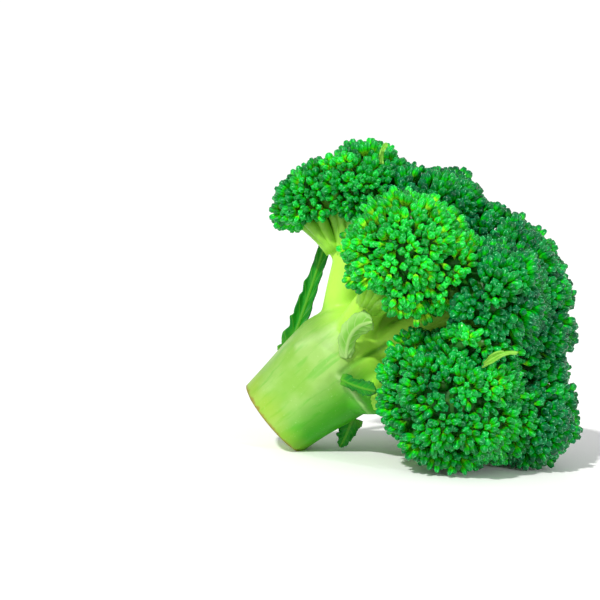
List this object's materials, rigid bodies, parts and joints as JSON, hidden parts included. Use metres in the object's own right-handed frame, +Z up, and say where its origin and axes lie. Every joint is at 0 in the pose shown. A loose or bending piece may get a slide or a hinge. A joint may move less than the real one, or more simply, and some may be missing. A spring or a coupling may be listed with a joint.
{
  "type": "broccoli floret",
  "caption": "Cut head of broccoli lying on its side, with a thick branched stalk, rounded lobes of closed flower buds and small leaves at the forks.",
  "frame": {"origin": "on the table, under the middle of the bounding box", "axes": "+Z up from the table; +X along the floret's longest extent, from the side of the cut stalk towards the crown; +Y away from the viewer of the picture"},
  "size_m": [0.1004, 0.0912, 0.0956],
  "materials": {
    "stalk": "smooth waxy plant skin",
    "buds": "waxy bud",
    "leaf_green": "soft leaf",
    "leaf_pale": "soft leaf"
  },
  "bodies": {
    "root": {"stalk": "stalk", "lobe_rim_top": "buds", "lobe_rim_top_small": "buds", "lobe_front_upper": "buds", "lobe_front_lower": "buds", "lobe_front_crown": "buds", "lobe_crown_top": "buds", "lobe_crown_tip": "buds", "lobe_crown_right": "buds", "lobe_rim_bottom": "buds", "lobe_back_lower": "buds", "lobe_back_upper": "buds", "lobe_back_crown": "buds", "lobe_back_top": "buds", "leaf_long": "leaf_green", "leaf_curled": "leaf_pale", "leaf_flat": "leaf_green", "leaf_under": "leaf_green"}
  },
  "joints": []
}
